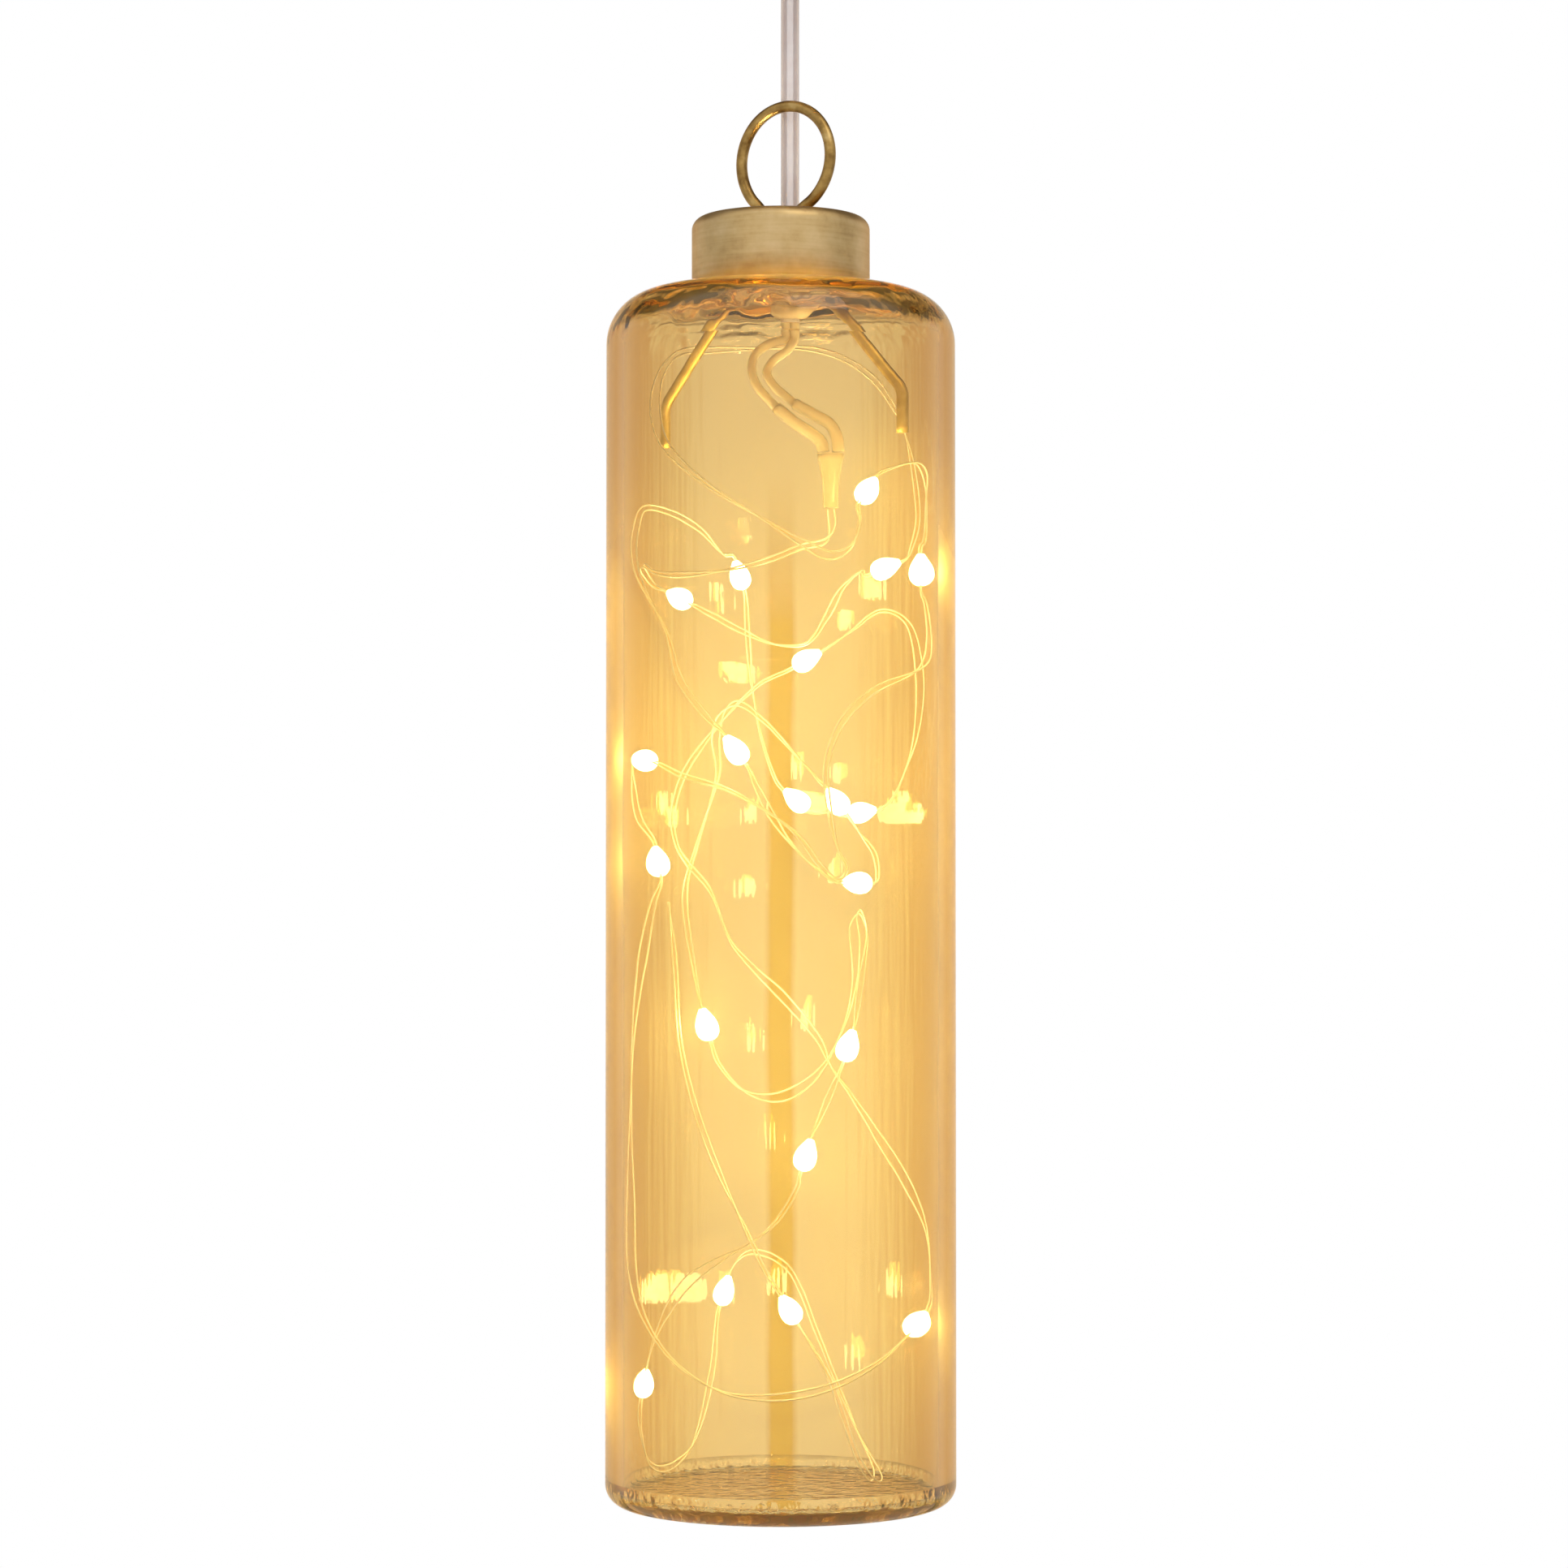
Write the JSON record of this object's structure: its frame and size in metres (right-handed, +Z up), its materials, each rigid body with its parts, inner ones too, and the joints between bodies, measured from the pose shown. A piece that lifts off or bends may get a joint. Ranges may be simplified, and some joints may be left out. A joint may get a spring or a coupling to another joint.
{
  "type": "hanging glass cylinder light",
  "caption": "Tinted glass cylinder under a brass cap with a wire ring, lit inside by a string of drops, hung on a clear twin lead from a small ceiling cup.",
  "frame": {"origin": "middle of the ceiling plate's top face, which meets the ceiling, on the lead's line", "axes": "+Z up, +Y away from the picture's viewer, +X to the viewer's right"},
  "size_m": [0.065, 0.065, 0.3112],
  "materials": {
    "amber_glass": "clear tinted glass",
    "cap_brass": "brushed, lightly tarnished",
    "cup_brass": "brushed",
    "wire_brass": "antique brass",
    "copper": "bare copper strands",
    "clear_lead": "clear, glossy",
    "clear_grip": "translucent nylon",
    "glue": "clear hot glue",
    "sleeve": "clear shrink sleeve",
    "string": "fine lacquered wires",
    "led": "clear resin, lit",
    "steel": "zinc plated",
    "white_plastic": "matte"
  },
  "bodies": {
    "ceiling_fitting": {"ceiling_plate": "steel", "ceiling_cup": "cup_brass", "cup_screw_left": "cup_brass", "cup_screw_right": "cup_brass", "cord_grip": "clear_grip", "grip_nut": "clear_grip", "terminal_block": "white_plastic", "terminal_screw_1": "steel", "terminal_screw_2": "steel", "lead_tail": "clear_lead"},
    "pendant": {"lead": "clear_lead", "lead_conductor_1": "copper", "lead_conductor_2": "copper", "cap": "cap_brass", "hanger": "wire_brass", "glue_plug": "glue", "core_1": "clear_lead", "core_2": "clear_lead", "core_sleeve_1": "sleeve", "core_sleeve_2": "sleeve", "joint_sleeve": "sleeve", "fairy_string": "string", "led_drop_01": "led", "led_drop_02": "led", "led_drop_03": "led", "led_drop_04": "led", "led_drop_05": "led", "led_drop_06": "led", "led_drop_07": "led", "led_drop_08": "led", "led_drop_09": "led", "led_drop_10": "led", "led_drop_11": "led", "led_drop_12": "led", "led_drop_13": "led", "led_drop_14": "led", "led_drop_15": "led", "led_drop_16": "led", "led_drop_17": "led", "led_drop_18": "led", "led_drop_19": "led", "led_drop_20": "led"},
    "glass": {"glass_cylinder": "amber_glass"}
  },
  "joints": [
    {"name": "lead_swing", "type": "hinge", "parent": "ceiling_fitting", "child": "pendant", "pos_m": [0, 0, -0.0283], "axis": [1, 0, 0], "range_deg": [-25, 25]},
    {"name": "glass_swivel", "type": "hinge", "parent": "pendant", "child": "glass", "pos_m": [-0.00174, -0.00268, -0.09], "axis": [0, 0, 1], "continuous": true}
  ]
}
